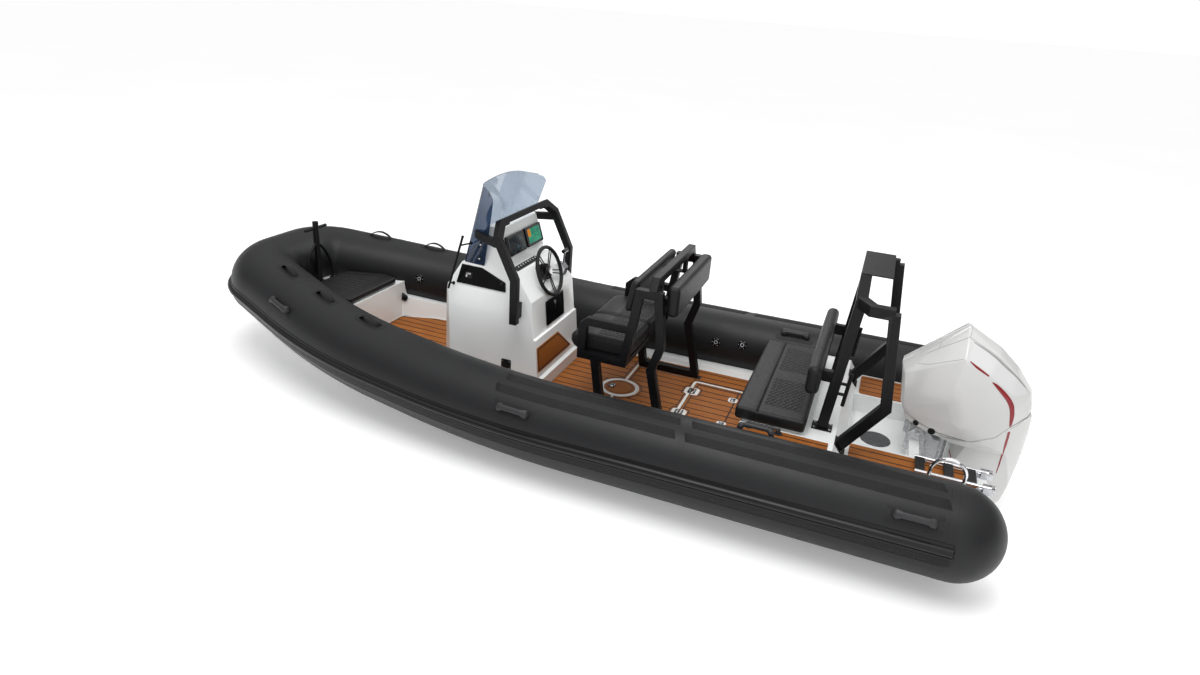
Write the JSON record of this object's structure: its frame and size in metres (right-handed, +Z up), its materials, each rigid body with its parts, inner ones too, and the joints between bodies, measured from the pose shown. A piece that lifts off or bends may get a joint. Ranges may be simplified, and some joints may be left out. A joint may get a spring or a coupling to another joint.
{
  "type": "rigid inflatable boat",
  "caption": "Open rigid inflatable boat with grey tubes, white hull, centre console, helm seat, stern bench, arch and white outboard engine.",
  "frame": {"origin": "on the waterline and the centreline, below the after edge of the two stern platforms", "axes": "+X forward to the bow, +Y to port, +Z up"},
  "size_m": [6.003, 2.555, 2.281],
  "materials": {
    "tube_fabric": "matte",
    "strake_rubber": "matte",
    "hull_white": "gloss",
    "deck_mat": "matte",
    "black_tube": "satin",
    "vinyl": "satin",
    "black_plastic": "satin",
    "chrome": "polished",
    "screen": "gloss",
    "engine_white": "gloss",
    "engine_metal": "satin",
    "steel": "brushed"
  },
  "bodies": {
    "boat": {"tube_port": "tube_fabric", "tube_bow": "tube_fabric", "tube_starboard": "tube_fabric", "strake_port": "strake_rubber", "strake_bow": "strake_rubber", "strake_starboard": "strake_rubber", "hull": "hull_white", "deck_liner": "hull_white", "stern_moulding": "hull_white", "foredeck": "hull_white", "bow_post": "black_tube", "bow_eye": "steel", "floor_mat": "deck_mat", "round_hatch": "hull_white", "console": "hull_white", "windscreen": "screen", "grab_rail": "black_tube", "display_port": "black_plastic", "display_starboard": "black_plastic", "switch_panel": "black_plastic", "helm_unit": "black_plastic", "throttle": "black_plastic", "seat_frame": "black_tube", "seat_pan": "hull_white", "seat_cushion": "vinyl", "backrest_front": "vinyl", "backrest_rear": "vinyl", "stern_backrest": "vinyl", "arch": "black_tube", "side_mat": "deck_mat", "ledge_handle": "black_plastic", "platform_mats": "deck_mat", "ladder_hinge": "steel", "grab_hoop": "chrome", "carry_handles": "strake_rubber", "strap_handles": "strake_rubber", "engine_bracket": "engine_metal"},
    "bow_locker_lid": {"bow_lid": "hull_white", "bow_cushion": "vinyl"},
    "stern_locker_lid": {"bench_lid": "hull_white", "stern_cushion": "vinyl"},
    "fuel_hatch": {"floor_hatch": "deck_mat"},
    "glovebox": {"glovebox_door": "black_plastic"},
    "side_locker_door": {"side_hatch": "black_plastic"},
    "wheel": {"steering_wheel": "black_plastic"},
    "ladder": {"boarding_ladder": "chrome"},
    "tilt_unit": {"engine_swivel": "engine_metal"},
    "engine": {"engine_body": "engine_white", "engine_cowl": "engine_white"},
    "prop": {"propeller": "steel"}
  },
  "joints": [
    {"name": "engine_tilt", "type": "hinge", "parent": "boat", "child": "tilt_unit", "pos_m": [0.4, 0, 0.455], "axis": [0, 1, 0], "range_deg": [0, 65]},
    {"name": "engine_steer", "type": "hinge", "parent": "tilt_unit", "child": "engine", "pos_m": [0.24, 0, 0.27], "axis": [0, 0, 1], "range_deg": [-30, 30]},
    {"name": "propeller_spin", "type": "hinge", "parent": "engine", "child": "prop", "pos_m": [-0.03, 0, -0.42], "axis": [1, 0, 0], "continuous": true},
    {"name": "wheel_turn", "type": "hinge", "parent": "boat", "child": "wheel", "pos_m": [3.077, 0, 1.004], "axis": [0.9397, 0, -0.342], "range_deg": [-540, 540]},
    {"name": "glovebox_door_swing", "type": "hinge", "parent": "boat", "child": "glovebox", "pos_m": [3.0102, -0.01, 0.628], "axis": [0, -1, 0], "range_deg": [0, 95]},
    {"name": "side_locker_door_swing", "type": "hinge", "parent": "boat", "child": "side_locker_door", "pos_m": [3.436, 0.3561, 0.911], "axis": [-1, 0, 0], "range_deg": [0, 110]},
    {"name": "bow_locker_lid_lift", "type": "hinge", "parent": "boat", "child": "bow_locker_lid", "pos_m": [4.648, 0, 0.506], "axis": [0, -1, 0], "range_deg": [0, 85]},
    {"name": "stern_locker_lid_lift", "type": "hinge", "parent": "boat", "child": "stern_locker_lid", "pos_m": [1.072, 0, 0.485], "axis": [0, -1, 0], "range_deg": [0, 30]},
    {"name": "fuel_hatch_lift", "type": "hinge", "parent": "boat", "child": "fuel_hatch", "pos_m": [1.957, 0, 0.196], "axis": [0, 1, 0], "range_deg": [0, 90]},
    {"name": "ladder_fold", "type": "hinge", "parent": "boat", "child": "ladder", "pos_m": [-0.012, 0.4875, 0.432], "axis": [0, -1, 0], "range_deg": [0, 255]}
  ],
  "couplings": [
    {"joint": "wheel_turn", "follows": "engine_steer", "ratio": 18}
  ]
}
